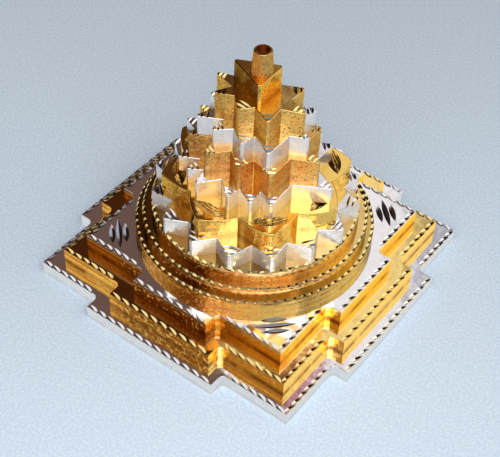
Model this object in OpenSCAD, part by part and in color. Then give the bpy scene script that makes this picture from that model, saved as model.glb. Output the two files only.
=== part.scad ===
// Meru shri yantra: a stepped ritual pyramid of plated brass tiers.
// Millimetres, +Z up, origin at the middle of the underside.
// Every tier is its own piece. A rod clamps the stack from the point at the
// top to a nut under the base, and pins keep the tiers from turning.

/* [Square base] */
// Half the side of the bottom plate, measured without its gates
plate_half = 34.4; // [33:0.1:38]
// Thickness of the bottom plate
plate_t = 3.2; // [2.6:0.1:5]
// How far a gate stands out from the middle of its side
gate_out = 3.7; // [2:0.1:6]
// Half the width of a gate of the bottom plate
gate_half = 17.5; // [14:0.1:22]
// Radius of the inner corner where a gate meets its side
gate_fillet = 1.3; // [0.5:0.1:1.8]
// Width of the ledge between the bottom plate and the lower tier
lower_step = 3.6; // [2:0.1:4]
// Height of the lower tier
lower_t = 3.6; // [2.5:0.1:6]
// Width of the ledge between the lower tier and the upper tier
upper_step = 3.8; // [2:0.1:4.2]
// Height of the upper tier, without the plate on it
upper_t = 2.9; // [2.6:0.1:6]
// Thickness of the plate on the upper tier
top_plate_t = 1.0; // [0.6:0.1:2]

/* [Round rings] */
// Radius of the lower ring
lower_ring_r = 27.1; // [26:0.1:28]
// Height of the lower ring
lower_ring_t = 2.85; // [2:0.05:5]
// Width of the ledge between the lower ring and the middle ring
middle_ring_step = 1.6; // [0.8:0.1:1.8]
// Height of the middle ring
middle_ring_t = 2.45; // [1.5:0.05:5]
// Width of the ledge between the middle ring and the upper ring
upper_ring_step = 2.1; // [0.8:0.1:2.3]
// Height of the upper ring
upper_ring_t = 2.95; // [1.5:0.05:5]

/* [Petal tiers] */
// Margin of the upper ring that shows outside the sixteen petals
sixteen_margin = 0.2; // [0.1:0.1:0.6]
// How far the notches between the sixteen petals are cut in
sixteen_notch = 3.6; // [2:0.1:5]
// Height of the sixteen petal tier
sixteen_t = 4.4; // [3:0.1:7]
// Width of the ledge between the sixteen petal tips and the eight petal tips
eight_petal_step = 2.2; // [1.5:0.1:2.6]
// How far the notches between the eight petals are cut in
eight_petal_notch = 4.3; // [3:0.1:4.5]
// How far the sides of the eight petals bulge out
eight_petal_bulge = 0.5; // [0.1:0.05:0.7]
// Height of the eight petal tier
eight_petal_t = 4.8; // [3:0.1:7]
// Width of the narrow flat that blunts each petal and each star point
tip_flat = 0.7; // [0.3:0.1:1]

/* [Star tiers] */
// How far the star tiers are turned on the base, in degrees
figure_turn = 2; // [0:0.5:6]
// Height of the fourteen point tier
fourteen_t = 4.2; // [3:0.1:7]
// Height of the outer ten point tier
outer_ten_t = 5.4; // [3:0.1:7]
// Height of the inner ten point tier
inner_ten_t = 5.0; // [3:0.1:7]
// Height of the eight point tier
eight_point_t = 6.0; // [3:0.1:8]
// Reach of the central triangle's far corner from the axis
triangle_far = 7.5; // [6.5:0.1:8.5]
// Distance of the central triangle's near side from the axis
triangle_near = 2.55; // [2.5:0.05:2.9]
// Half the length of the central triangle's near side
triangle_half = 4.6; // [4.2:0.1:5]
// Length cut off both sides at each corner of the central triangle
triangle_cut = 0.8; // [0.4:0.1:1]
// Height of the central triangle
triangle_t = 5.4; // [4:0.1:8]

/* [Bindu] */
// Radius of the bindu at its foot
bindu_foot_r = 2.5; // [2.2:0.05:2.5]
// Radius of the bindu at its top
bindu_top_r = 1.95; // [1.85:0.05:2.15]
// Height of the bindu
bindu_t = 5.55; // [4.2:0.05:7]
// Radius of the cup in the bindu's top
bindu_cup_r = 1.5; // [1:0.05:1.6]
// Depth of the cup in the bindu's top
bindu_cup_depth = 0.8; // [0.3:0.1:1.2]

/* [Rod, nut and pins] */
// Diameter of the rod that clamps the stack
rod_d = 2.5; // [2:0.1:2.8]
// Length of the rod's thread inside the bindu
rod_grip = 2.4; // [1.5:0.1:2.6]
// Width of the nut across its flats
nut_flats = 5; // [4.5:0.1:6]
// Thickness of the nut
nut_t = 1.6; // [1.2:0.1:1.8]
// Outer diameter of the washer
washer_d = 8; // [7:0.1:10]
// Thickness of the washer
washer_t = 0.5; // [0.3:0.05:0.6]
// Gap all round between the washer and its pocket
pocket_gap = 0.5; // [0.2:0.1:1]
// Depth of the nut's lower face inside the underside
nut_recess = 0.1; // [0.05:0.05:0.15]
// Diameter of the two dowels of the square base
dowel_d = 2.5; // [2:0.1:3.5]
// Distance of each dowel from the middle, along both sides
dowel_at = 15; // [12:0.1:17]
// Depth of the dowels in the bottom plate
dowel_sink = 1.6; // [1:0.1:2]
// Diameter of the long pin of the round and star tiers
pin_d = 1.2; // [0.8:0.1:1.3]
// Distance of the long pin from the axis
pin_at = 3.3; // [3.1:0.05:3.5]
// Depth of the long pin in the upper tier of the base
pin_sink = 2; // [1:0.1:2.2]
// Rise of the long pin into the central triangle
pin_rise = 3; // [1.5:0.1:3.5]
// Gap all round between a rod, dowel or pin and its hole
hole_gap = 0.1; // [0.05:0.01:0.12]
// Gap all round between the rod and a thread that holds it
thread_gap = 0.05; // [0.02:0.01:0.08]

/* [Hidden] */

// Plating colours
gold = [0.86, 0.63, 0.22];
silver = [0.80, 0.80, 0.82];
steel = [0.56, 0.57, 0.60];

// Segments of a round face, of a gate's inner corner and of a petal's side,
// and how far a cutter runs past the face it opens
round_fn = 96;
fillet_parts = 6;
petal_parts = 6;
cut_over = 0.5;

// Level of each piece's underside, counted up the stack
lower_z = plate_t;
upper_z = lower_z + lower_t;
top_plate_z = upper_z + upper_t;
lower_ring_z = top_plate_z + top_plate_t;
middle_ring_z = lower_ring_z + lower_ring_t;
upper_ring_z = middle_ring_z + middle_ring_t;
sixteen_z = upper_ring_z + upper_ring_t;
eight_petal_z = sixteen_z + sixteen_t;
fourteen_z = eight_petal_z + eight_petal_t;
outer_ten_z = fourteen_z + fourteen_t;
inner_ten_z = outer_ten_z + outer_ten_t;
eight_point_z = inner_ten_z + inner_ten_t;
triangle_z = eight_point_z + eight_point_t;
bindu_z = triangle_z + triangle_t;

// Ring and petal radii, each stepped in from the one below
middle_ring_r = lower_ring_r - middle_ring_step;
upper_ring_r = middle_ring_r - upper_ring_step;
sixteen_r = upper_ring_r - sixteen_margin;
eight_petal_r = sixteen_r - eight_petal_step;

// Where the fasteners end
pocket_depth = washer_t + nut_t + nut_recess;
washer_z = nut_recess + nut_t;
rod_top = bindu_z + rod_grip;
dowel_z = plate_t - dowel_sink;
dowel_top = lower_ring_z - hole_gap;
pin_z = top_plate_z - pin_sink;
pin_top = triangle_z + pin_rise;

// Half of each star, from its near point at 0 degrees to its far point at 180,
// point and notch by turns, as angle and distance from the axis
fourteen_half = [[0, 19.0], [20, 12.4], [46, 16.6], [53, 12.5], [61, 15.8], [73, 12.5], [80, 15.4],
    [96, 11.8], [108, 16.5], [117, 13.2], [125, 16.1], [133, 12.9], [140, 17.2], [161, 12.5], [180, 19.0]];
outer_ten_half = [[0, 15.4], [15, 10.4], [45, 13.6], [62, 8.9], [77, 11.8],
    [100, 8.5], [114, 13.4], [134, 9.8], [144, 15.0], [165, 10.4], [180, 15.4]];
inner_ten_half = [[0, 12.3], [12, 9.0], [47, 12.2], [64, 7.2], [77, 10.0],
    [104, 7.3], [119, 10.9], [132, 8.0], [143, 13.2], [166, 8.6], [180, 12.7]];
eight_point_half = [[0, 10.9], [17, 6.7], [46, 9.2], [70, 5.1], [97, 7.1],
    [132, 5.6], [145, 9.6], [163, 6.3], [180, 11.1]];

function polar(angle, reach) = [reach * cos(angle), reach * sin(angle)];

// The two corners of the narrow flat that blunts a point
function blunt(angle, reach) =
    [for (side = [-1, 1]) polar(angle, reach) + polar(angle + 90, side * tip_flat / 2)];

// A ring of points and notches given by turns as angle and reach
function zigzag(marks) = [for (i = [0 : len(marks) - 1])
    each (i % 2 == 0 ? blunt(marks[i][0], marks[i][1]) : [polar(marks[i][0], marks[i][1])])];

// The whole ring from its half, mirrored across the line of its two end points
function mirrored(half) =
    concat(half, [for (i = [len(half) - 2 : -1 : 1]) [-half[i][0], half[i][1]]]);

// Evenly spaced points with a notch halfway between them
function even_ring(count, tip, notch) = [for (i = [0 : 2 * count - 1])
    [i * 180 / count, i % 2 == 0 ? tip : tip - notch]];

// Points along a side from a to b that bulges out, with the ends left off
function bulged(a, b, rise) =
    let (along = b - a, out = [along[1], -along[0]] / norm(along))
    [for (i = [1 : petal_parts - 1]) let (s = i / petal_parts)
        a + along * s + out * (4 * rise * s * (1 - s))];

// Evenly spaced blunt petals whose sides bulge out on the way to the notches
function petal_ring(count, tip, notch, rise) = [for (i = [0 : count - 1])
    let (
        turn = 360 / count,
        here = blunt(i * turn, tip),
        gap = polar((i + 0.5) * turn, tip - notch),
        ahead = blunt((i + 1) * turn, tip)
    )
    each concat(here, bulged(here[1], gap, rise), [gap], bulged(gap, ahead[0], rise))];

// A closed outline with the same length cut off both sides of every corner
function cut_corners(outline, cut) = let (count = len(outline)) [for (i = [0 : count - 1])
    let (here = outline[i]) each [for (other = [outline[(i + count - 1) % count], outline[(i + 1) % count]])
        here + cut * (other - here) / norm(other - here)]];

// An arc of a gate's inner corner about its middle
function gate_corner(middle, from, to) = [for (i = [0 : fillet_parts])
    middle + polar(from + (to - from) * i / fillet_parts, gate_fillet)];

// A square with a gate in the middle of each side, all moved in by the inset
module gated_square(inset) {
    half = plate_half - inset;
    wing = gate_half - inset;
    out = half + gate_out;
    side = concat([[half, -half]],
        gate_corner([half + gate_fillet, -wing - gate_fillet], 180, 90),
        [[out, -wing], [out, wing]],
        gate_corner([half + gate_fillet, wing + gate_fillet], 270, 180));
    polygon([for (turn = [0 : 90 : 270]) each [for (p = side)
        [p[0] * cos(turn) - p[1] * sin(turn), p[0] * sin(turn) + p[1] * cos(turn)]]]);
}

module rod_hole() {
    translate([0, 0, -cut_over])
        cylinder(h = bindu_z + 2 * cut_over, d = rod_d + 2 * hole_gap, $fn = round_fn);
}

module dowel_places() {
    for (side = [-1, 1]) translate([side * dowel_at, side * dowel_at, 0]) children();
}

module dowel_holes() {
    dowel_places() translate([0, 0, dowel_z - hole_gap])
        cylinder(h = lower_ring_z - dowel_z + cut_over, d = dowel_d + 2 * hole_gap, $fn = round_fn);
}

module pin_hole() {
    translate([-pin_at, 0, pin_z - hole_gap])
        cylinder(h = pin_top - pin_z + 2 * hole_gap, d = pin_d + 2 * hole_gap, $fn = round_fn);
}

// A flat outline raised to its height and drilled for the rod
module tier(z, t) {
    difference() {
        translate([0, 0, z]) linear_extrude(t) children();
        rod_hole();
    }
}

module base_tier(z, t, inset) {
    difference() {
        tier(z, t) gated_square(inset);
        dowel_holes();
    }
}

module pinned_tier(z, t) {
    difference() {
        tier(z, t) children();
        pin_hole();
    }
}

module star_tier(z, t, half) {
    pinned_tier(z, t) rotate(figure_turn) polygon(zigzag(mirrored(half)));
}

module base_plate() {
    color(silver) difference() {
        base_tier(0, plate_t, 0);
        translate([0, 0, -cut_over])
            cylinder(h = pocket_depth + cut_over, d = washer_d + 2 * pocket_gap, $fn = round_fn);
    }
}

module lower_base_tier() {
    color(gold) base_tier(lower_z, lower_t, lower_step);
}

module upper_base_tier() {
    color(gold) difference() {
        base_tier(upper_z, upper_t, lower_step + upper_step);
        pin_hole();
    }
}

module base_top_plate() {
    color(silver) difference() {
        base_tier(top_plate_z, top_plate_t, lower_step + upper_step);
        pin_hole();
    }
}

module lower_ring() {
    color(gold) pinned_tier(lower_ring_z, lower_ring_t) circle(r = lower_ring_r, $fn = round_fn);
}

module middle_ring() {
    color(gold) pinned_tier(middle_ring_z, middle_ring_t) circle(r = middle_ring_r, $fn = round_fn);
}

module upper_ring() {
    color(gold) pinned_tier(upper_ring_z, upper_ring_t) circle(r = upper_ring_r, $fn = round_fn);
}

module sixteen_petal_tier() {
    color(silver) pinned_tier(sixteen_z, sixteen_t)
        polygon(zigzag(even_ring(16, sixteen_r, sixteen_notch)));
}

module eight_petal_tier() {
    color(gold) pinned_tier(eight_petal_z, eight_petal_t)
        polygon(petal_ring(8, eight_petal_r, eight_petal_notch, eight_petal_bulge));
}

module fourteen_point_tier() {
    color(silver) star_tier(fourteen_z, fourteen_t, fourteen_half);
}

module outer_ten_point_tier() {
    color(gold) star_tier(outer_ten_z, outer_ten_t, outer_ten_half);
}

module inner_ten_point_tier() {
    color(silver) star_tier(inner_ten_z, inner_ten_t, inner_ten_half);
}

module eight_point_tier() {
    color(gold) star_tier(eight_point_z, eight_point_t, eight_point_half);
}

module triangle_tier() {
    color(gold) pinned_tier(triangle_z, triangle_t) rotate(figure_turn) polygon(cut_corners([
        [triangle_near, -triangle_half], [triangle_near, triangle_half], [-triangle_far, 0]], triangle_cut));
}

module bindu() {
    color(gold) difference() {
        translate([0, 0, bindu_z])
            cylinder(h = bindu_t, r1 = bindu_foot_r, r2 = bindu_top_r, $fn = round_fn);
        translate([0, 0, bindu_z - cut_over])
            cylinder(h = rod_grip + hole_gap + cut_over, d = rod_d + 2 * thread_gap, $fn = round_fn);
        translate([0, 0, bindu_z + bindu_t - bindu_cup_depth])
            cylinder(h = bindu_cup_depth + cut_over, r = bindu_cup_r, $fn = round_fn);
    }
}

module tie_rod() {
    color(steel) translate([0, 0, nut_recess])
        cylinder(h = rod_top - nut_recess, d = rod_d, $fn = round_fn);
}

module clamp_washer() {
    color(steel) translate([0, 0, washer_z]) difference() {
        cylinder(h = washer_t, d = washer_d, $fn = round_fn);
        translate([0, 0, -cut_over])
            cylinder(h = washer_t + 2 * cut_over, d = rod_d + 2 * hole_gap, $fn = round_fn);
    }
}

module clamp_nut() {
    color(steel) translate([0, 0, nut_recess]) difference() {
        cylinder(h = nut_t, d = nut_flats / cos(30), $fn = 6);
        translate([0, 0, -cut_over])
            cylinder(h = nut_t + 2 * cut_over, d = rod_d + 2 * thread_gap, $fn = round_fn);
    }
}

module base_dowels() {
    color(steel) dowel_places() translate([0, 0, dowel_z])
        cylinder(h = dowel_top - dowel_z, d = dowel_d, $fn = round_fn);
}

module tower_pin() {
    color(steel) translate([-pin_at, 0, pin_z])
        cylinder(h = pin_top - pin_z, d = pin_d, $fn = round_fn);
}

base_plate();
lower_base_tier();
upper_base_tier();
base_top_plate();
lower_ring();
middle_ring();
upper_ring();
sixteen_petal_tier();
eight_petal_tier();
fourteen_point_tier();
outer_ten_point_tier();
inner_ten_point_tier();
eight_point_tier();
triangle_tier();
bindu();
tie_rod();
clamp_washer();
clamp_nut();
base_dowels();
tower_pin();
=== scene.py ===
"""Looks of the meru shri yantra: bright cut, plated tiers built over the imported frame.

Metres, +Z up. Each tier that shows is the frame's own solid with its edges broken and its cut marks
taken out of it. What is hidden inside keeps its frame solid and gets a steel finish.
"""

import math
import random
from typing import NamedTuple

import bmesh
import bpy
from mathutils import Matrix, Vector


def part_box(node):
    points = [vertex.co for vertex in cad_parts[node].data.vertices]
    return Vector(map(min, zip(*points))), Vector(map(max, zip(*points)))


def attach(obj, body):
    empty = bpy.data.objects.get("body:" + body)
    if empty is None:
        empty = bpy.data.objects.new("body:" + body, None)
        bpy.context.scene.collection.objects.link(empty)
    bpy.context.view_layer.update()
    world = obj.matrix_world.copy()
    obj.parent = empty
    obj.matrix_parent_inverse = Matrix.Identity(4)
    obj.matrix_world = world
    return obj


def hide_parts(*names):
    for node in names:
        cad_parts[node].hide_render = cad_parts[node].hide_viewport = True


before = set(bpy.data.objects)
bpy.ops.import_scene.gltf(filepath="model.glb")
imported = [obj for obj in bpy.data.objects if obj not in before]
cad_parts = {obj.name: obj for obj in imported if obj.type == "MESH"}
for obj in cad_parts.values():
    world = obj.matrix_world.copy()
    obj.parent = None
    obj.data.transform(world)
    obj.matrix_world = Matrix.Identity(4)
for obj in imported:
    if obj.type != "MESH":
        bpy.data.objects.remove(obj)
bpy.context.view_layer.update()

MM = 0.001
UP = Vector((0, 0, 1))
WELD = 1e-6
scene = bpy.context.scene
chance = random.Random(11)

# Camera, at the photo's viewing angle
CAMERA_AZIMUTH = math.radians(34.95)
CAMERA_ELEVATION = math.radians(45.16)
CAMERA_ROLL = math.radians(2.77)
CAMERA_DISTANCE = 273.4 * MM
CAMERA_TARGET = Vector((0.05, -1.72, 10.24)) * MM
CAMERA_LENS = 86.1
CAMERA_NEAREST = 1 * MM
CAMERA_FARTHEST = 20

# Directions of the photo, fixed on the part: level ones, and the one from the part back to the camera
RIGHT = Vector((math.cos(CAMERA_AZIMUTH), math.sin(CAMERA_AZIMUTH), 0))
LEFT = -RIGHT
NEAR = Vector((math.sin(CAMERA_AZIMUTH), -math.cos(CAMERA_AZIMUTH), 0))
BACK = Vector((
    math.sin(CAMERA_AZIMUTH) * math.cos(CAMERA_ELEVATION),
    -math.cos(CAMERA_AZIMUTH) * math.cos(CAMERA_ELEVATION),
    math.sin(CAMERA_ELEVATION),
))

# Broken edges, and how the faces of a solid are told apart
SQUARE_BREAK = 0.08 * MM
RIM_BREAK = 0.16 * MM
POINT_BREAK = 0.2 * MM
BREAK_SEGMENTS = 3
BREAK_PROFILE = 0.5
CORNER_ANGLE = math.radians(24)
SHARP_ANGLE = math.radians(17)
FLAT_ANGLE = math.radians(0.5)
LEVEL_FACE = 0.9
WALL_LEAN = 0.2

# Cut marks: boat shaped grooves whose ends run out to points
DECK_LIFT = 0.05 * MM
BOAT_OVERRUN = 1.02
BOAT_STATIONS = 9
HAND_VARIES = 0.08

# Marks that lean along the straight rims and run out through them
MARK_PITCH = 2.55 * MM
MARK_LENGTH = 3.3 * MM
MARK_WIDTH = 0.98 * MM
MARK_DEPTH = 0.2 * MM
MARK_OUTER_SHARE = 0.46
MARK_LEAN = math.radians(18.5)
MARK_LEAN_VARIES = 0.1
MARK_INSET = 0.36 * MM
MARK_MARGIN = 1.9 * MM
SHORTEST_SIDE = 6.0 * MM

# Marks round the rings
RING_PITCH = 2.0 * MM
RING_WANDER = 0.15
RING_MARK_LENGTH = 2.5 * MM
RING_MARK_WIDTH = 1.0 * MM
RING_MARK_DEPTH = 0.16 * MM
RING_OUTER_SHARE = 0.46
RING_INSET = 0.25 * MM
RING_INSET_VARIES = 0.15
RING_LEAN = math.radians(10)

# Three strokes across each corner of the top plate
SPRAY_AT = 30.9 * MM
SPRAY_STEP = 1.55 * MM
SPRAY_LONG = 9.2 * MM
SPRAY_SHORT = 6.0 * MM
SPRAY_WIDTH = 1.4 * MM
SPRAY_DEPTH = 0.22 * MM
SPRAY_STATIONS = 13

# Strokes across the points, at these distances in from each tip
STROKE_WIDTH = 0.8 * MM
STROKE_DEPTH = 0.22 * MM
STROKE_DEPTH_VARIES = 0.12
STROKE_SWAY = math.radians(8)
PETAL_STROKES_AT = (1.1 * MM, 2.3 * MM)
PETAL_STROKE_LENGTH = 4.4 * MM
STAR_STROKES_AT = (0.9 * MM, 2.0 * MM)
STAR_STROKE_LENGTH = 3.6 * MM
TIP_FLAT_LIMIT = 1.2 * MM
TIP_FACING = 0.98

# Long cuts across the eight broad petals
LEAF_INSET = 3.9 * MM
LEAF_LENGTH = 8.6 * MM
LEAF_WIDTH = 3.0 * MM
LEAF_DEPTH = 0.62 * MM
LEAF_STATIONS = 21
PETAL_TIP_LIMIT = 18 * MM

# The cup in the top of the bindu, painted dark as shade
CUP_REACH = 1.6 * MM
CUP_SUNK = 0.3 * MM
CUP_ROUGH = 0.25


def add_camera():
    turn = Matrix.Rotation(CAMERA_ROLL, 3, BACK)
    axes = Matrix((turn @ RIGHT, turn @ BACK.cross(RIGHT), BACK)).transposed().to_4x4()
    data = bpy.data.cameras.new("camera")
    data.lens = CAMERA_LENS
    data.clip_start = CAMERA_NEAREST
    data.clip_end = CAMERA_FARTHEST
    camera = bpy.data.objects.new("camera", data)
    camera.matrix_world = Matrix.Translation(CAMERA_TARGET + BACK * CAMERA_DISTANCE) @ axes
    scene.collection.objects.link(camera)
    scene.camera = camera


# Colours

def colour(red, green, blue):
    return (red, green, blue, 1.0)


def even(level):
    """The same level in all three channels, for a blend that isn't a colour."""
    return colour(level, level, level)


YELLOW = colour(1.0, 0.77, 0.30)
PALE_GOLD = colour(0.99, 0.80, 0.38)
LIT_GOLD = colour(0.96, 0.71, 0.25)
HONEY = colour(0.90, 0.59, 0.15)
OCHRE = colour(0.97, 0.58, 0.11)
AMBER = colour(0.88, 0.46, 0.06)
COPPER = colour(0.74, 0.26, 0.05)
SANDY = colour(0.74, 0.52, 0.19)
TAN = colour(0.56, 0.38, 0.12)
RUST = colour(0.82, 0.36, 0.07)
ROSE = colour(0.80, 0.54, 0.27)
OLIVE = colour(0.25, 0.18, 0.042)
BRONZE = colour(0.19, 0.122, 0.027)
SHADE_BROWN = colour(0.27, 0.10, 0.02)
MAROON = colour(0.11, 0.022, 0.008)
UMBER = colour(0.22, 0.085, 0.025)
WHITE = colour(0.91, 0.91, 0.92)
GREY = colour(0.80, 0.80, 0.82)
ASH = colour(0.68, 0.68, 0.71)
DULL = colour(0.62, 0.57, 0.53)
STEEL_DARK = colour(0.42, 0.43, 0.46)
STEEL_LIGHT = colour(0.58, 0.59, 0.62)
GOLD_EDGE = colour(1.0, 0.84, 0.48)
SILVER_EDGE = colour(1.0, 1.0, 1.0)

# Tones of a plated finish: the bright metal, which also paints highlight lines on the walls, the deeper
# metal that mottles it, the stain, which also paints dark reflection lines on the walls, the tarnish of
# the pits, which also paints shade along the foot of the walls, and the painted shade of the walls that
# face left
GOLD_TONES = (YELLOW, HONEY, COPPER, UMBER, OCHRE)
PETAL_TONES = (HONEY, AMBER, COPPER, UMBER, AMBER)
RING_TONES = {
    "lower_ring": (OLIVE, BRONZE, UMBER, UMBER, COPPER),
    "middle_ring": (ROSE, AMBER, COPPER, UMBER, COPPER),
    "upper_ring": (ROSE, SANDY, COPPER, UMBER, COPPER),
}
STAR_TONES = (SANDY, AMBER, COPPER, UMBER, AMBER)
RUSTY_TONES = (SANDY, RUST, COPPER, UMBER, RUST)
BINDU_TONES = (TAN, RUST, COPPER, UMBER, COPPER)
TRIANGLE_TONES = (HONEY, AMBER, COPPER, UMBER, MAROON)
SILVER_TONES = (WHITE, GREY, DULL, DULL, DULL)
POINT_TONES = (GREY, ASH, DULL, DULL, DULL)


class Wear(NamedTuple):
    """How a plated finish has worn, and where shade and light are painted on it. gloss and wall_gloss are
    roughnesses, and the rest are shares.
    """

    gloss: float  # of the flats
    wall_gloss: float  # of the walls
    stain: float  # broad stains
    grain: float  # level drawn lines on the walls: their bumps, and painted dark reflection lines and painted highlight lines along them
    streak: float  # level drawn lines on the walls
    pit: float  # dark pits in the walls
    side_shading_and_flecks: float = 0.0  # painted shade of gold on its left side, painted light on its right side, and its flecks
    foot: float = 0.4  # painted shade along the foot of the walls
    flat: float = 0.0  # dulling of the flats to bronze, heavier on the left as painted shade
    satin: float = 0.0  # dull film on the walls


SILVER_BASE_WEAR = Wear(gloss=0.09, wall_gloss=0.12, stain=0.15, grain=0.08, streak=0.1, pit=0.15)
GOLD_BASE_WEAR = Wear(
    gloss=0.07, wall_gloss=0.05, stain=0.5, grain=0.06, streak=0.6, pit=0.35, side_shading_and_flecks=0.9, foot=0.9,
)
RING_WEAR = Wear(
    gloss=0.09, wall_gloss=0.08, stain=0.45, grain=0.15, streak=0.7, pit=0.65, side_shading_and_flecks=0.8, flat=0.65,
)
SILVER_POINT_WEAR = Wear(gloss=0.1, wall_gloss=0.2, stain=0.3, grain=0.3, streak=0.1, pit=0.4, satin=0.24)
PETAL_WEAR = Wear(gloss=0.09, wall_gloss=0.08, stain=0.3, grain=0.08, streak=0.3, pit=0.35, side_shading_and_flecks=0.5)
STAR_WEAR = Wear(gloss=0.14, wall_gloss=0.27, stain=0.35, grain=0.9, streak=0.1, pit=0.8, side_shading_and_flecks=0.6)
RUSTY_WEAR = STAR_WEAR._replace(stain=0.6)
TRIANGLE_WEAR = Wear(gloss=0.14, wall_gloss=0.14, stain=0.5, grain=0.2, streak=0.1, pit=0.8, side_shading_and_flecks=0.95)
BINDU_WEAR = Wear(gloss=0.14, wall_gloss=0.24, stain=0.5, grain=0.8, streak=0.1, pit=0.8, side_shading_and_flecks=0.8)

# Sizes of the noise in a plated finish
MOTTLE_SIZE = 1.6 * MM
PATCH_SIZE = 5.5 * MM
GRAIN_SIZE = 0.26 * MM
PIT_SIZE = 0.42 * MM
FLECK_SIZE = 0.9 * MM
DINT_SIZE = 3.2 * MM
LINE_SIZE = 0.5 * MM
SWELL_SIZE = 1.5 * MM
LEVEL_STRETCH = (0.002, 0.002, 1.0)

# Where each field of a plated finish begins and ends, in noise, in facing or in distance
WALL_FACING = (0.35, 0.75)
MOTTLE_RANGE = (0.38, 0.66)
PATCH_START = 0.62
PATCH_END = 0.8
PATCH_SPREAD = 0.3
PIT_RANGE = (0.52, 0.64)
LINE_RANGE = (0.53, 0.57)
SHINE_RANGE = (0.41, 0.45)
FLECK_RANGE = (0.53, 0.62)
OXIDE_RANGE = (0.37, 0.43)
GRAIN_RANGE = (0.3, 0.8)
FOOT_RISE = (0.2 * MM, 1.3 * MM)
FOOT_BREAKS = (0.3, 0.6, 0.3, 1.0)
LEFT_SHADE_DISTANCE = (-20 * MM, 3 * MM, 0.25, 1.0)
SHADE_FACING = (0.0, 0.7)
SHADE_FACING_WANDER = 0.4
LEFTNESS_WANDER = 8 * MM
LEDGE_DISTANCE = (0, 16 * MM)
BAND_START = (4 * MM, 16 * MM)
BAND_END = (31 * MM, 36 * MM)
FRONT_FACING = (0.55, 0.75)

# How strongly each field shows at most
MOTTLE_SHARE = 0.5
MOTTLE_LOST_TO_STREAKS = 0.35
LINE_SHARE = 0.55
SHINE_SHARE = 0.5
BAND_SHARE = 0.7
FLECK_SHARE = 0.7
FLECK_OUTSIDE_BAND = 0.15
OXIDE_SHARE = 0.8
GRAIN_POLISH = -0.02
GRAIN_ROUGH = 0.1
STAIN_ROUGH = 0.12

# Depths of the relief of a plated finish
DINT_DEPTH = 0.25 * MM
DINT_STRENGTH = 0.2
SWELL_DEPTH = 0.4 * MM
LINE_DEPTH = 0.1 * MM
FLECK_DEPTH = 0.14 * MM
FLECK_STRENGTH = 0.7
GRAIN_DEPTH = 0.12 * MM

# Cut metal and turned steel
CUT_ROUGH = 0.05
CUT_ROUGH_VARIES = 0.05
CUT_RELIEF = 0.03 * MM
CHATTER_SIZE = 0.5 * MM
CHATTER_TONE_RANGE = (0.35, 0.7)
CHATTER_ROUGH_RANGE = (0.3, 0.7)
CHATTER_STRENGTH = 0.25
RIPPLE_PITCH = 0.52 * MM
RIPPLE_WAVER = 0.9 * MM
RIPPLE_WAVER_SIZE = 2.2 * MM
RIPPLE_TONE_RANGE = (-0.4, 0.9)
RIPPLE_ROUGH = (0.12, 0.26)
RIPPLE_STRENGTH = 0.35
GLEAM_SIZE = 0.7 * MM
GLEAM_RANGE = (0.45, 0.7)
TURNING_SCALE = 900.0
TURNING_WAVER = 1.5
TURNING_ROUGH = (0.24, 0.4)
TURNING_DEPTH = 0.02 * MM
TURNING_STRENGTH = 0.3
STEEL_PATCH_SIZE = 2 * MM


# Node helpers

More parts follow.
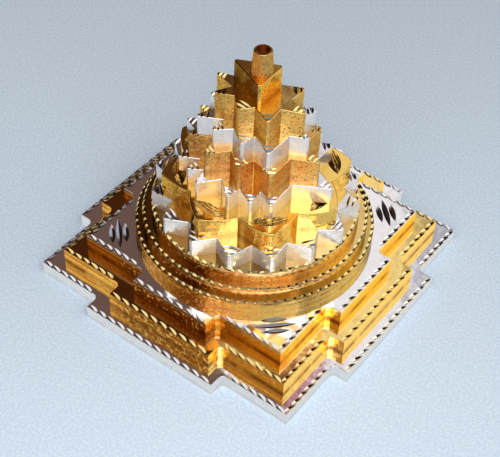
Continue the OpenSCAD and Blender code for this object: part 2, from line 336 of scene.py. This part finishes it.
class Graph:
    """A material's or the world's node tree, with short calls for the nodes that it needs."""

    def __init__(self, owner):
        owner.use_nodes = True
        self.tree = owner.node_tree
        self.tree.nodes.clear()

    def add(self, kind, settings=(), **inputs):
        node = self.tree.nodes.new(kind)
        for name, value in dict(settings).items():
            setattr(node, name, value)
        for name, value in inputs.items():
            self.feed(node.inputs[name.replace("_", " ")], value)
        return node

    def feed(self, socket, value):
        if isinstance(value, bpy.types.NodeSocket):
            self.tree.links.new(value, socket)
        elif value is not None:
            socket.default_value = value

    def math(self, operation, a, b=0.0):
        node = self.add("ShaderNodeMath", {"operation": operation})
        self.feed(node.inputs[0], a)
        self.feed(node.inputs[1], b)
        return node.outputs[0]

    def plus(self, a, b):
        return self.math("ADD", a, b)

    def times(self, *factors):
        product = factors[0]
        for factor in factors[1:]:
            product = self.math("MULTIPLY", product, factor)
        return product

    def remainder(self, share):
        """What a share leaves of the whole."""
        return self.math("SUBTRACT", 1.0, share)

    def vector(self, operation, a, b=(0, 0, 0), output="Vector"):
        node = self.add("ShaderNodeVectorMath", {"operation": operation})
        self.feed(node.inputs[0], a)
        self.feed(node.inputs[1], b)
        return node.outputs[output]

    def span(self, value, low, high, to_low=0.0, to_high=1.0):
        """A smooth change from to_low to to_high while the value goes from low to high."""
        node = self.add("ShaderNodeMapRange", {"interpolation_type": "SMOOTHSTEP"})
        for name, number in zip(("Value", "From Min", "From Max", "To Min", "To Max"),
                                (value, low, high, to_low, to_high)):
            self.feed(node.inputs[name], number)
        return node.outputs["Result"]

    def fall(self, value, low, high):
        """A smooth change from all to nothing."""
        return self.span(value, low, high, 1.0, 0.0)

    def dot(self, a, b):
        return self.vector("DOT_PRODUCT", a, b, "Value")

    def part(self, vector, axis):
        return self.add("ShaderNodeSeparateXYZ", Vector=vector).outputs[axis]

    def place(self):
        """Where a point of the surface is, in the part's own frame."""
        return self.add("ShaderNodeTexCoord").outputs["Object"]

    def noise(self, place, size, detail=3.0, rough=0.5):
        """Noise whose features are about as large as size, in metres."""
        node = self.add("ShaderNodeTexNoise", Vector=place, Scale=1 / size, Detail=detail, Roughness=rough)
        return node.outputs["Fac"]

    def blend(self, share, a, b):
        """A mix of two colours. The node's colour sockets share their names, so they go by number."""
        node = self.add("ShaderNodeMix", {"data_type": "RGBA"})
        self.feed(node.inputs["Factor"], share)
        self.feed(node.inputs[6], a)
        self.feed(node.inputs[7], b)
        return node.outputs[2]

    def bump(self, height, depth, strength, normal=None):
        node = self.add("ShaderNodeBump", Strength=strength, Distance=depth, Height=height, Normal=normal)
        return node.outputs["Normal"]

    def metal(self, tone, rough, normal, edge=SILVER_EDGE, bare=1.0):
        """bare is the share of the surface that is clean metal and not dull oxide."""
        shader = self.add(
            "ShaderNodeBsdfPrincipled", Base_Color=tone, Metallic=bare, Roughness=rough, Normal=normal,
        )
        shader.inputs["Specular Tint"].default_value = edge
        self.add("ShaderNodeOutputMaterial", Surface=shader.outputs[0])


# Finishes

class Plate(Graph):
    """Polished plate over cast brass: the fields that its tone, its roughness and its relief share."""

    def __init__(self, material, foot, wear):
        """foot is the level where the tier's walls begin."""
        super().__init__(material)
        self.wear = wear
        place = self.place()
        self.normal = self.add("ShaderNodeNewGeometry").outputs["Normal"]
        self.wall = self.fall(self.math("ABSOLUTE", self.part(self.normal, "Z")), *WALL_FACING)
        self.flat = self.remainder(self.wall)

        self.mottle = self.span(self.noise(place, MOTTLE_SIZE, detail=4.0, rough=0.6), *MOTTLE_RANGE)
        spread = PATCH_SPREAD * wear.stain
        patches = self.noise(place, PATCH_SIZE, detail=3.0, rough=0.55)
        self.patch = self.span(patches, PATCH_START - spread, PATCH_END - spread)
        self.grain = self.noise(place, GRAIN_SIZE, detail=3.0, rough=0.65)
        pits = self.span(self.noise(place, PIT_SIZE, detail=2.0, rough=0.6), *PIT_RANGE)
        self.pits = self.times(pits, self.wall, wear.pit)
        self.flecks = self.noise(place, FLECK_SIZE, detail=2.0, rough=0.6)
        self.dints = self.noise(place, DINT_SIZE, detail=2.0, rough=0.4)
        level_lines = self.vector("MULTIPLY", place, LEVEL_STRETCH)
        self.drawn = self.noise(level_lines, LINE_SIZE, detail=2.0, rough=0.5)
        self.swell = self.noise(level_lines, SWELL_SIZE, detail=1.0, rough=0.4)

        rise = self.math("SUBTRACT", self.part(place, "Z"), foot)
        # Painted shade along the foot of each wall, broken up by the dints
        self.low = self.times(self.fall(rise, *FOOT_RISE), self.wall, self.span(self.dints, *FOOT_BREAKS))
        self.leftness = self.plus(self.dot(place, LEFT), self.times(self.dints, LEFTNESS_WANDER))
        # Painted shade that deepens towards the left side, with painted light on the right
        self.left_shade = self.span(self.leftness, *LEFT_SHADE_DISTANCE)
        # A band of the walls part way to the left: where the flecks gather, and where front walls get
        # painted shade
        self.band = self.times(
            self.span(self.leftness, *BAND_START), self.fall(self.leftness, *BAND_END), self.wall,
        )
        self.flecked = self.times(
            self.span(self.band, 0.0, 1.0, FLECK_OUTSIDE_BAND, 1.0), self.wall, wear.side_shading_and_flecks,
        )
        self.oxide = self.times(self.fall(self.flecks, *OXIDE_RANGE), self.flecked, OXIDE_SHARE)

    def tone(self, tones):
        """The colour, laid on in layers over the mottled metal. Some layers are painted shade and painted
        light.
        """
        bright, deep, stain, tarnish_and_shade, left_facing_shade = tones
        wear = self.wear
        # Painted shade falls on the walls that face left
        facing_left = self.plus(self.dot(self.normal, LEFT), self.times(self.dints, SHADE_FACING_WANDER))
        turned = self.span(facing_left, *SHADE_FACING)
        # Painted shade on the flats towards the left side
        ledge_shade = self.span(self.leftness, *LEDGE_DISTANCE)
        front = self.span(self.dot(self.normal, NEAR), *FRONT_FACING)
        # Painted dark reflection lines and painted highlight lines along the drawn lines
        lines = self.times(self.span(self.drawn, *LINE_RANGE), self.wall)
        shines = self.times(self.fall(self.drawn, *SHINE_RANGE), self.wall)
        specks = self.span(self.flecks, *FLECK_RANGE)
        layers = (
            # Real stains, gathered more on the left side as painted shade
            (self.times(self.patch, wear.stain, self.left_shade), stain),
            # Painted shade on the walls that face left, in the fifth tone
            (self.times(turned, self.wall, wear.side_shading_and_flecks), left_facing_shade),
            # Painted shade on the flats towards the left side
            (self.times(ledge_shade, self.flat, wear.side_shading_and_flecks), SHADE_BROWN),
            # Painted light: the right side turns to a brighter gold
            (self.times(self.remainder(self.left_shade), wear.side_shading_and_flecks), LIT_GOLD),
            # Flats dulled to bronze, more on the left side as painted shade
            (self.times(self.flat, self.left_shade, wear.flat), BRONZE),
            # Painted dark reflection lines, in the stain tone
            (self.times(lines, LINE_SHARE * wear.streak, self.left_shade), stain),
            # Painted highlight lines, in the bright tone
            (self.times(shines, SHINE_SHARE * wear.streak), bright),
            # Painted shade on the front-facing walls in the band
            (self.times(self.band, front, BAND_SHARE * wear.side_shading_and_flecks), SHADE_BROWN),
            (self.times(specks, self.flecked, FLECK_SHARE), tarnish_and_shade),
            (self.oxide, HONEY),
            (self.pits, tarnish_and_shade),
            # Painted shade along the foot of the walls
            (self.times(self.low, wear.foot), tarnish_and_shade),
        )
        mottle_share = MOTTLE_SHARE - MOTTLE_LOST_TO_STREAKS * wear.streak
        tone = self.blend(self.times(self.mottle, mottle_share), bright, deep)
        for share, paint in layers:
            tone = self.blend(share, tone, paint)
        return tone

    def roughness(self):
        wear = self.wear
        rough = self.blend(self.wall, even(wear.gloss), even(wear.wall_gloss))
        grainy = self.span(self.grain, *GRAIN_RANGE, GRAIN_POLISH, GRAIN_ROUGH * wear.grain)
        return self.plus(self.plus(rough, grainy), self.times(self.patch, STAIN_ROUGH * wear.stain))

    def bare(self):
        """The share of clean metal that the oxide and the film on the walls leave."""
        return self.remainder(self.plus(self.oxide, self.times(self.wall, self.wear.satin)))

    def relief(self):
        """The bumps, from the broadest to the finest."""
        wear = self.wear
        normal = self.bump(self.dints, DINT_DEPTH, DINT_STRENGTH)
        for field, where, depth, strength in (
            (self.swell, self.wall, SWELL_DEPTH, wear.streak),
            (self.drawn, self.wall, LINE_DEPTH, wear.streak),
            (self.flecks, self.band, FLECK_DEPTH, FLECK_STRENGTH * wear.side_shading_and_flecks),
            (self.grain, self.wall, GRAIN_DEPTH, wear.grain),
        ):
            normal = self.bump(self.times(field, where), depth, strength, normal)
        return normal


def plated(name, node, tones, wear):
    material = bpy.data.materials.new(name)
    plate = Plate(material, foot_of(node), wear)
    edge = GOLD_EDGE if wear.side_shading_and_flecks else SILVER_EDGE
    plate.metal(plate.tone(tones), plate.roughness(), plate.relief(), edge, plate.bare())
    return material


def bright_cut(name, bright, deep, rough=CUT_ROUGH):
    """The clean metal inside a cut mark."""
    material = bpy.data.materials.new(name)
    g = Graph(material)
    chatter = g.noise(g.place(), CHATTER_SIZE, detail=2.0, rough=0.5)
    tone = g.blend(g.span(chatter, *CHATTER_TONE_RANGE), bright, deep)
    uneven = g.span(chatter, *CHATTER_ROUGH_RANGE, rough, rough + CUT_ROUGH_VARIES)
    g.metal(tone, uneven, g.bump(chatter, CUT_RELIEF, CHATTER_STRENGTH))
    return material


def leaf_cut(name):
    """The inside of the broad petal cuts, with the lines that the cutter left along them."""
    material = bpy.data.materials.new(name)
    g = Graph(material)
    place = g.place()
    reach = g.vector("LENGTH", g.vector("MULTIPLY", place, (1, 1, 0)), output="Value")
    waver = g.times(g.noise(place, RIPPLE_WAVER_SIZE, detail=2.0, rough=0.5), RIPPLE_WAVER)
    ripple = g.math("SINE", g.times(g.plus(reach, waver), 2 * math.pi / RIPPLE_PITCH))
    tone = g.blend(g.span(ripple, *RIPPLE_TONE_RANGE), AMBER, UMBER)
    tone = g.blend(g.span(g.noise(place, GLEAM_SIZE), *GLEAM_RANGE), tone, YELLOW)
    rough = g.span(ripple, -1.0, 1.0, *RIPPLE_ROUGH)
    g.metal(tone, rough, g.bump(ripple, CUT_RELIEF, RIPPLE_STRENGTH))
    return material


def turned_steel():
    """Plain turned steel, for the fasteners inside."""
    material = bpy.data.materials.new("turned_steel")
    g = Graph(material)
    place = g.place()
    wave = g.add(
        "ShaderNodeTexWave", {"bands_direction": "Z"},
        Vector=place, Scale=TURNING_SCALE, Distortion=TURNING_WAVER,
    )
    lines = wave.outputs["Fac"]
    tone = g.blend(g.noise(place, STEEL_PATCH_SIZE), STEEL_DARK, STEEL_LIGHT)
    rough = g.span(lines, 0.0, 1.0, *TURNING_ROUGH)
    g.metal(tone, rough, g.bump(lines, TURNING_DEPTH, TURNING_STRENGTH))
    return material


# What the frame says of a node

def foot_of(node):
    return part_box(node)[0].z


def level_of(node):
    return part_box(node)[1].z


def radius_of(node):
    low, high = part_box(node)
    return (high.x - low.x) / 2


def solid_of(node):
    """A welded copy of a frame node's mesh, with its flat faces made whole."""
    bm = bmesh.new()
    bm.from_mesh(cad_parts[node].data)
    bmesh.ops.remove_doubles(bm, verts=bm.verts, dist=WELD)
    bmesh.ops.dissolve_limit(bm, angle_limit=FLAT_ANGLE, verts=bm.verts, edges=bm.edges)
    bm.normal_update()
    return bm


# Rims and edges

def chained(edges):
    """The closed loops of vertices that these edges make."""
    beside = {}
    for edge in edges:
        for vertex in edge.verts:
            beside.setdefault(vertex, []).append(edge.other_vert(vertex))
    loops = []
    left = set(beside)
    while left:
        loop = [min(left, key=lambda vertex: vertex.index)]
        while True:
            left.discard(loop[-1])
            ahead = [v for v in beside[loop[-1]] if v in left]
            if not ahead:
                break
            loop.append(min(ahead, key=lambda vertex: vertex.index))
        loops.append(loop)
    return loops


def area_of(points):
    """Signed area of a flat loop of points, seen from above."""
    return sum(a.x * b.y - b.x * a.y for a, b in zip(points, points[1:] + points[:1])) / 2


def rim_of(bm):
    """The vertices round the outside of the top face, counterclockwise from above."""
    top = max(v.co.z for v in bm.verts)
    bm.verts.index_update()
    edges = [
        e for e in bm.edges
        if all(top - v.co.z < WELD for v in e.verts)
        and sum(f.normal.z > LEVEL_FACE for f in e.link_faces) == 1
    ]
    rim = max(chained(edges), key=lambda loop: abs(area_of([v.co for v in loop])))
    return rim if area_of([v.co for v in rim]) > 0 else rim[::-1]


def sides_of(rim):
    """Each point of a closed rim with the next one."""
    return zip(rim, rim[1:] + rim[:1])


def tips_of(rim, reach_limit=0):
    """The middle of each narrow tip flat that lies beyond the reach limit, and the way it faces."""
    tips = []
    for a, b in sides_of(rim):
        middle = (a + b) / 2
        outward = (b - a).normalized().cross(UP)
        level = Vector((middle.x, middle.y, 0))
        narrow = (b - a).length < TIP_FLAT_LIMIT
        if narrow and level.length > reach_limit and outward.dot(level.normalized()) > TIP_FACING:
            tips.append((middle, outward))
    return tips


def break_edges(bm, rim, width, corners=True):
    """Breaks the rim and, where corners are asked for, the upright edges that run down from it."""
    on_rim = set(rim)
    edges = []
    for edge in bm.edges:
        a, b = edge.verts
        upright = (a in on_rim) != (b in on_rim) and (a.co - b.co).xy.length < WELD
        if (a in on_rim and b in on_rim) or (corners and upright):
            if len(edge.link_faces) == 2 and edge.calc_face_angle() > CORNER_ANGLE:
                edges.append(edge)
    bmesh.ops.bevel(
        bm, geom=edges, offset=width, offset_type="OFFSET", segments=BREAK_SEGMENTS,
        profile=BREAK_PROFILE, affect="EDGES", clamp_overlap=True,
    )


# Cut marks

class Cuts:
    """All the grooves of one tier, as one mesh of boat shaped cutters."""

    def __init__(self):
        self.points = []
        self.faces = []

    def boat(self, middle, along, length, width, depth, stations=BOAT_STATIONS, right_share=0.5):
        """A groove in a level face: middle and along lie in the face, and the ends run out to points.

        right_share is the part of the width that lies on the right of the keel.
        """
        along = along.normalized()
        across = UP.cross(along)
        start = len(self.points)
        slope = width / depth
        for i in range(stations):
            s = BOAT_OVERRUN * (2 * i / (stations - 1) - 1)
            share = 1 - s * s
            keel = middle + along * (s * length / 2) - UP * (depth * share)
            deck = middle + along * (s * length / 2) + UP * DECK_LIFT
            full = across * (slope * (depth * share + DECK_LIFT))
            self.points += [keel, deck - full * right_share, deck + full * (1 - right_share)]
        for i in range(stations - 1):
            a = start + 3 * i
            b = a + 3
            for j, k in ((0, 1), (1, 2), (2, 0)):
                self.faces.append((a + j, b + j, b + k, a + k))
        self.faces.append((start, start + 1, start + 2))
        self.faces.append(tuple(len(self.points) - 3 + j for j in (0, 2, 1)))


def sway():
    """A chance number from -1 to 1."""
    return 2 * chance.random() - 1


def varied(value, share=HAND_VARIES):
    """The value as a hand would repeat it."""
    return value * (1 + share * sway())


def hatch_sides(cuts, rim):
    """Leaning marks along each straight side of the rim, like the lay of a rope."""
    for a, b in sides_of(rim):
        if (b - a).length < SHORTEST_SIDE:
            continue
        along = (b - a).normalized()
        outward = along.cross(UP)
        free = (b - a).length - 2 * MARK_MARGIN
        count = max(1, round(free / MARK_PITCH))
        for i in range(count + 1):
            middle = a + along * (MARK_MARGIN + free * i / count) - outward * varied(MARK_INSET)
            lean = varied(MARK_LEAN, MARK_LEAN_VARIES)
            slant = along * math.cos(lean) + outward * math.sin(lean)
            cuts.boat(
                middle, slant, varied(MARK_LENGTH), varied(MARK_WIDTH), varied(MARK_DEPTH),
                right_share=MARK_OUTER_SHARE,
            )


def hatch_round(cuts, radius, level):
    """The same marks round a circular rim, smaller and leaning less."""
    count = round(2 * math.pi * radius / RING_PITCH)
    for i in range(count):
        angle = 2 * math.pi * (i + RING_WANDER * chance.random()) / count
        outward = Vector((math.cos(angle), math.sin(angle), 0))
        slant = UP.cross(outward) * math.cos(RING_LEAN) + outward * math.sin(RING_LEAN)
        middle = outward * (radius - varied(RING_INSET, RING_INSET_VARIES)) + UP * level
        cuts.boat(
            middle, slant, varied(RING_MARK_LENGTH), varied(RING_MARK_WIDTH), varied(RING_MARK_DEPTH),
            right_share=RING_OUTER_SHARE,
        )


def corner_sprays(cuts, level):
    """Three strokes across each corner of the top plate, the middle one the longest."""
    for turn in range(4):
        angle = math.radians(45 + 90 * turn)
        outward = Vector((math.cos(angle), math.sin(angle), 0))
        across = UP.cross(outward)
        for step, length in ((-1, SPRAY_SHORT), (0, SPRAY_LONG), (1, SPRAY_SHORT)):
            place = outward * (SPRAY_AT + step * SPRAY_STEP) + UP * level
            cuts.boat(place, across, length, SPRAY_WIDTH, SPRAY_DEPTH, SPRAY_STATIONS)


def stroke_tips(cuts, rim, reaches, length):
    """Straight strokes across every point, at these distances in from its tip."""
    for tip, outward in tips_of(rim):
        for reach in reaches:
            across = Matrix.Rotation(STROKE_SWAY * sway(), 3, "Z") @ UP.cross(outward)
            middle = tip - outward * varied(reach)
            width = varied(STROKE_WIDTH)
            cuts.boat(middle, across, length, width, varied(STROKE_DEPTH, STROKE_DEPTH_VARIES))


def leaf_tips(cuts, rim):
    """One long cut across every broad petal."""
    for tip, outward in tips_of(rim, PETAL_TIP_LIMIT):
        middle = tip - outward * LEAF_INSET
        cuts.boat(middle, UP.cross(outward), LEAF_LENGTH, LEAF_WIDTH, LEAF_DEPTH, LEAF_STATIONS)


# Finished pieces

def mesh_of(name, bm, material):
    mesh = bpy.data.meshes.new(name)
    bmesh.ops.triangulate(bm, faces=bm.faces[:])
    bm.verts.index_update()
    mesh.from_pydata([v.co for v in bm.verts], [], [[v.index for v in f.verts] for f in bm.faces])
    mesh.materials.append(material)
    bm.free()
    return mesh


def cut_out(whole, cuts, cut_material):
    """Takes the cut marks out of a piece, and gives their faces the cut material."""
    tool_mesh = bpy.data.meshes.new(whole.name + "_cutter")
    tool_mesh.from_pydata(cuts.points, [], cuts.faces)
    tool_mesh.materials.append(cut_material)
    tool = bpy.data.objects.new(whole.name + "_cutter", tool_mesh)
    scene.collection.objects.link(tool)
    cut = whole.modifiers.new("cut", "BOOLEAN")
    cut.operation = "DIFFERENCE"
    cut.object = tool
    cut.solver = "EXACT"
    cut.use_self = True
    cut.material_mode = "TRANSFER"
    ready = whole.evaluated_get(bpy.context.evaluated_depsgraph_get())
    finished = bpy.data.meshes.new_from_object(ready)
    whole.modifiers.clear()
    whole.data = finished
    bpy.data.objects.remove(tool)


def carved(name, bm, material, cuts=None, cut_material=None):
    """The solid with all its cut marks taken out, as a new object."""
    whole = bpy.data.objects.new(name, mesh_of(name, bm, material))
    scene.collection.objects.link(whole)
    if cuts:
        cut_out(whole, cuts, cut_material)
    whole.data.name = name
    whole.data.set_sharp_from_angle(angle=SHARP_ANGLE)
    for polygon in whole.data.polygons:
        polygon.use_smooth = abs(polygon.normal.z) < WALL_LEAN
    return whole


def dress(piece, node):
    """Puts a finished piece in the place of its frame node."""
    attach(piece, "root")
    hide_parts(node)


gold_cut = bright_cut("gold_cut", PALE_GOLD, YELLOW)
silver_cut = bright_cut("silver_cut", WHITE, GREY)
petal_cut = leaf_cut("petal_cut")
# Painted shade for the inside of the cup
painted_shade_cup = bright_cut("painted_shade_cup", UMBER, SHADE_BROWN, CUP_ROUGH)
steel = turned_steel()


# Tiers

def square_tier(node, material, cut_material, hatched, sprays):
    bm = solid_of(node)
    rim_vertices = rim_of(bm)
    rim = [v.co.copy() for v in rim_vertices]
    cuts = Cuts()
    if hatched:
        hatch_sides(cuts, rim)
    if sprays:
        corner_sprays(cuts, rim[0].z)
    break_edges(bm, rim_vertices, SQUARE_BREAK, corners=False)
    dress(carved(node + "_plated", bm, material, cuts if hatched else None, cut_material), node)


def silver_square(node, sprays=False):
    material = plated(node + "_silver", node, SILVER_TONES, SILVER_BASE_WEAR)
    square_tier(node, material, silver_cut, hatched=True, sprays=sprays)


def gold_square(node, hatched=True):
    material = plated(node + "_gold", node, GOLD_TONES, GOLD_BASE_WEAR)
    square_tier(node, material, gold_cut, hatched=hatched, sprays=False)


def round_tier(node):
    material = plated(node + "_gold", node, RING_TONES[node], RING_WEAR)
    bm = solid_of(node)
    rim_vertices = rim_of(bm)
    cuts = Cuts()
    hatch_round(cuts, radius_of(node), level_of(node))
    break_edges(bm, rim_vertices, RIM_BREAK)
    dress(carved(node + "_plated", bm, material, cuts, gold_cut), node)


def pointed_tier(node, material, cut_material, reaches, length):
    bm = solid_of(node)
    rim_vertices = rim_of(bm)
    rim = [v.co.copy() for v in rim_vertices]
    cuts = Cuts()
    stroke_tips(cuts, rim, reaches, length)
    break_edges(bm, rim_vertices, POINT_BREAK)
    dress(carved(node + "_plated", bm, material, cuts, cut_material), node)


def silver_points(node, reaches=STAR_STROKES_AT, length=STAR_STROKE_LENGTH):
    material = plated(node + "_silver", node, POINT_TONES, SILVER_POINT_WEAR)
    pointed_tier(node, material, silver_cut, reaches, length)


def gold_points(node, tones, wear):
    material = plated(node + "_gold", node, tones, wear)
    pointed_tier(node, material, gold_cut, STAR_STROKES_AT, STAR_STROKE_LENGTH)


def broad_petals(node):
    """The eight petals, each with one long boat cut across it."""
    material = plated(node + "_gold", node, PETAL_TONES, PETAL_WEAR)
    bm = solid_of(node)
    rim_vertices = rim_of(bm)
    rim = [v.co.copy() for v in rim_vertices]
    cuts = Cuts()
    leaf_tips(cuts, rim)
    break_edges(bm, rim_vertices, POINT_BREAK)
    dress(carved(node + "_plated", bm, material, cuts, petal_cut), node)


def plain_tier(node, tones, wear):
    """A tier without cut marks. A cup in its top gets painted shade."""
    material = plated(node + "_gold", node, tones, wear)
    bm = solid_of(node)
    break_edges(bm, rim_of(bm), POINT_BREAK)
    piece = carved(node + "_plated", bm, material)
    piece.data.materials.append(painted_shade_cup)
    for polygon in piece.data.polygons:
        inward = polygon.normal.xy.dot(polygon.center.xy) < 0 and abs(polygon.normal.z) < WALL_LEAN
        sunk = polygon.normal.z > LEVEL_FACE and level_of(node) - polygon.center.z > CUP_SUNK
        if polygon.center.xy.length < CUP_REACH and (inward or sunk):
            polygon.material_index = 1
    dress(piece, node)


silver_square("base_plate")
gold_square("lower_base_tier")
gold_square("upper_base_tier", hatched=False)
silver_square("base_top_plate", sprays=True)
for ring in RING_TONES:
    round_tier(ring)
silver_points("sixteen_petal_tier", PETAL_STROKES_AT, PETAL_STROKE_LENGTH)
broad_petals("eight_petal_tier")
silver_points("fourteen_point_tier")
gold_points("outer_ten_point_tier", RUSTY_TONES, RUSTY_WEAR)
silver_points("inner_ten_point_tier")
gold_points("eight_point_tier", STAR_TONES, STAR_WEAR)
plain_tier("triangle_tier", TRIANGLE_TONES, TRIANGLE_WEAR)
plain_tier("bindu", BINDU_TONES, BINDU_WEAR)

for inner in ("tie_rod", "clamp_washer", "clamp_nut", "base_dowels", "tower_pin"):
    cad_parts[inner].data.materials.clear()
    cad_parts[inner].data.materials.append(steel)


# Floor, light and surroundings

FLOOR_HALF = 3.0
FLOOR_DROP = 0.05 * MM
FLOOR_SPECK_SIZE = 0.6 * MM
FLOOR_SPECK_RANGE = (0.38, 0.68)
FLOOR_BLUE = colour(0.60, 0.745, 0.92)
FLOOR_PALE = colour(0.74, 0.875, 1.0)
FLOOR_SHINE = colour(0.72, 0.77, 0.79)

LAMP_DISTANCE = 0.29
LAMP_PLACE = BACK * LAMP_DISTANCE
LAMP_TARGET = Vector((0, 0, 0.01))
SOFTBOX_SIZE = 0.36
SOFTBOX_POWER = 0.60
SOFTBOX_TINT = (0.98, 0.99, 1.0)
GLINT_SIZE = 0.035
GLINT_POWER = 0.05
GLINT_TINT = (1.0, 1.0, 1.0)

ROOM_BLACK = colour(0.014, 0.010, 0.008)
ROOM_BROWN = colour(0.150, 0.088, 0.070)
ROOM_DUSK = colour(0.30, 0.28, 0.27)
ROOM_DIM = colour(0.50, 0.30, 0.13)
ROOM_PINK = colour(0.58, 0.26, 0.27)
ROOM_WHITE = colour(0.95, 0.90, 0.89)
ROOM_GREY = colour(0.42, 0.41, 0.46)
ROOM_WINDOW = colour(1.3, 1.22, 1.1)

# Where the parts of the room begin and end: to the side, toward the camera and in height
FAR_WHITE_TOWARD = (-0.52, -0.42)
BROWN_SIDE = (-0.36, -0.18)
DIM_TOWARD = (0.04, 0.16)
PINK_SIDE = (0.065, 0.085)
PINK_HEIGHT = (0.765, 0.785)
GREY_SIDE = (0.11, 0.16)
GREY_TOWARD = (-0.6, -0.4)
WINDOW_SIDE = (0.4, 0.55)
BRIGHT_SIDE = (0.033, 0.042)
LOW_WINDOW_SIDE = (0.78, 0.88)
WALLS_HEIGHT = (0.5, 0.57)
CEILING_HEIGHT = (0.835, 0.865)
CEILING_SIDE = (-0.36, -0.25)
DUSK_HEIGHT = (0.945, 0.965)
DUSK_TOWARD = (0.0, 0.1)


def add_floor():
    """A pale bluish sheet. Polished metal sees it as plain white."""
    corners = [(x * FLOOR_HALF, y * FLOOR_HALF, 0) for x, y in ((-1, -1), (1, -1), (1, 1), (-1, 1))]
    mesh = bpy.data.meshes.new("floor")
    mesh.from_pydata(corners, [], [(0, 1, 2, 3)])
    floor = bpy.data.objects.new("floor", mesh)
    floor.location.z = -FLOOR_DROP
    scene.collection.objects.link(floor)
    material = bpy.data.materials.new("pale_floor")
    g = Graph(material)
    speck = g.span(g.noise(g.place(), FLOOR_SPECK_SIZE, detail=3.0, rough=0.7), *FLOOR_SPECK_RANGE)
    sheet = g.add("ShaderNodeBsdfDiffuse", Color=g.blend(speck, FLOOR_BLUE, FLOOR_PALE))
    shine = g.add("ShaderNodeEmission", Color=FLOOR_SHINE, Strength=1.0)
    light_path = g.add("ShaderNodeLightPath").outputs
    # The shine shows in polished metal only where no dull surface has scattered the light first
    unscattered = g.math("LESS_THAN", light_path["Diffuse Depth"], 0.5)
    both = g.add("ShaderNodeMixShader")
    g.feed(both.inputs[0], g.times(light_path["Is Glossy Ray"], unscattered))
    g.feed(both.inputs[1], sheet.outputs[0])
    g.feed(both.inputs[2], shine.outputs[0])
    g.add("ShaderNodeOutputMaterial", Surface=both.outputs[0])
    mesh.materials.append(material)


def add_lamp(name, size, power, tint):
    data = bpy.data.lights.new(name, "AREA")
    data.shape = "DISK"
    data.size = size
    data.energy = power
    data.color = tint
    lamp = bpy.data.objects.new(name, data)
    lamp.location = LAMP_PLACE
    lamp.rotation_euler = (LAMP_TARGET - LAMP_PLACE).to_track_quat("-Z", "Y").to_euler()
    scene.collection.objects.link(lamp)


def add_world():
    """A room that is brown behind on the left, dim in front, bright on the right and black low down.

    Its ceiling is black behind, and dusky in front and right overhead.
    """
    world = bpy.data.worlds.new("room")
    scene.world = world
    g = Graph(world)
    way = g.add("ShaderNodeTexCoord").outputs["Generated"]
    side = g.dot(way, RIGHT)
    toward = g.dot(way, NEAR)
    height = g.part(way, "Z")
    far_left = g.blend(g.span(toward, *FAR_WHITE_TOWARD), ROOM_BLACK, ROOM_WHITE)
    behind = g.blend(g.span(side, *BROWN_SIDE), far_left, ROOM_BROWN)
    left = g.blend(g.span(toward, *DIM_TOWARD), behind, ROOM_DIM)
    pink_share = g.times(g.fall(side, *PINK_SIDE), g.span(height, *PINK_HEIGHT))
    grey_share = g.times(g.span(side, *GREY_SIDE), g.fall(toward, *GREY_TOWARD))
    bright = g.blend(grey_share, g.blend(pink_share, ROOM_WHITE, ROOM_PINK), ROOM_GREY)
    window = g.blend(g.span(side, *WINDOW_SIDE), bright, ROOM_WINDOW)
    walls = g.blend(g.span(side, *BRIGHT_SIDE), left, window)
    low = g.blend(g.span(side, *LOW_WINDOW_SIDE), ROOM_BLACK, ROOM_WINDOW)
    above = g.blend(g.span(height, *WALLS_HEIGHT), low, walls)
    ceiling_share = g.times(g.span(height, *CEILING_HEIGHT), g.span(side, *CEILING_SIDE))
    overhead = g.blend(g.span(height, *DUSK_HEIGHT), ROOM_BLACK, ROOM_DUSK)
    ceiling = g.blend(g.span(toward, *DUSK_TOWARD), overhead, ROOM_DUSK)
    room = g.blend(ceiling_share, above, ceiling)
    shader = g.add("ShaderNodeBackground", Color=room, Strength=1.0)
    g.add("ShaderNodeOutputWorld", Surface=shader.outputs[0])


add_floor()
add_camera()
add_world()
add_lamp("softbox", SOFTBOX_SIZE, SOFTBOX_POWER, SOFTBOX_TINT)
add_lamp("glint", GLINT_SIZE, GLINT_POWER, GLINT_TINT)

scene.view_settings.view_transform = "Standard"
